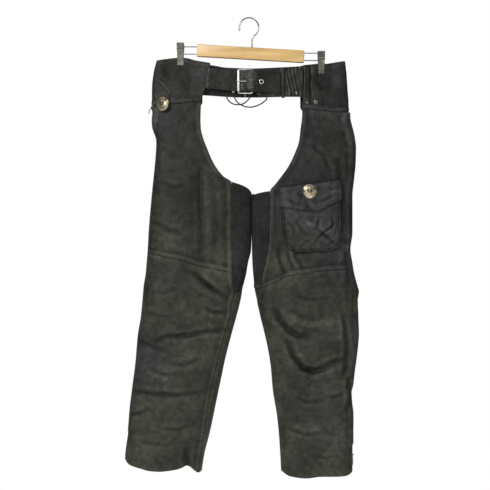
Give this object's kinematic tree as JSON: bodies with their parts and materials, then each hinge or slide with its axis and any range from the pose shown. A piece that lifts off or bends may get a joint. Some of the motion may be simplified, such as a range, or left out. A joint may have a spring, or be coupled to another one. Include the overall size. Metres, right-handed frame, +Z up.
{
  "type": "leather chaps on a clip hanger",
  "caption": "Full-length leather riding chaps with a buckled belt, laced back, stretch inner panels, thigh pocket and outer zips, hung from a wooden clip hanger.",
  "frame": {"origin": "inside top of the hanger's hook, where the rail bears", "axes": "+Z up, -Y towards the garment's front, +X to the right as one faces the front"},
  "size_m": [0.5959, 0.087, 1.1712],
  "materials": {
    "leather": "smooth matt leather",
    "stretch": "ribbed stretch",
    "belt": "glossy belt leather",
    "lace": "soft lace",
    "zip_tape": "woven tape",
    "nickel": "nickel plate",
    "concho": "antique",
    "chrome": "bright wire",
    "steel": "satin",
    "rivet": "antique",
    "wood": "lacquered"
  },
  "bodies": {
    "garment": {"back_lace": "lace", "belt_base": "belt", "belt_eyelet": "nickel", "belt_keeper": "belt", "belt_loop": "belt", "belt_rivet": "rivet", "belt_tongue": "belt", "buckle_frame": "nickel", "buckle_prong": "nickel", "hanger_bar": "wood", "hanger_hook": "chrome", "hip_concho": "concho", "hip_thong": "lace", "hook_tip": "chrome", "left_back_band": "belt", "left_calf_back": "leather", "left_clip_back": "steel", "left_clip_front": "steel", "left_clip_spring": "chrome", "left_clip_wire": "chrome", "left_lace_eyelet_1": "nickel", "left_lace_eyelet_2": "nickel", "left_lace_eyelet_3": "nickel", "left_pocket": "leather", "left_pocket_flap": "leather", "left_shin_front": "leather", "left_stretch_panel": "stretch", "left_thigh_back": "leather", "left_thigh_front": "leather", "left_yoke": "leather", "left_zip": "zip_tape", "left_zip_flap": "leather", "left_zip_slider": "nickel", "loop_rivet": "rivet", "pocket_concho": "concho", "pocket_thong": "lace", "right_back_band": "belt", "right_calf_back": "leather", "right_clip_back": "steel", "right_clip_front": "steel", "right_clip_spring": "chrome", "right_clip_wire": "chrome", "right_lace_eyelet_1": "nickel", "right_lace_eyelet_2": "nickel", "right_lace_eyelet_3": "nickel", "right_shin_front": "leather", "right_stretch_panel": "stretch", "right_thigh_back": "leather", "right_thigh_front": "leather", "right_yoke": "leather", "right_zip": "zip_tape", "right_zip_flap": "leather", "right_zip_slider": "nickel", "tab_snap": "steel", "waist_tab": "belt"},
    "right_pull": {"right_zip_pull": "nickel"},
    "left_pull": {"left_zip_pull": "nickel"}
  },
  "joints": [
    {"name": "right_zip_pull_hinge", "type": "hinge", "parent": "garment", "child": "right_pull", "pos_m": [-0.29425, 0.02752, -1.09293], "axis": [0.9421, 0.3352, 0], "range_deg": [-5, 150]},
    {"name": "left_zip_pull_hinge", "type": "hinge", "parent": "garment", "child": "left_pull", "pos_m": [0.26388, 0.01383, -1.11372], "axis": [0.5494, -0.8356, 0], "range_deg": [-5, 150]}
  ]
}
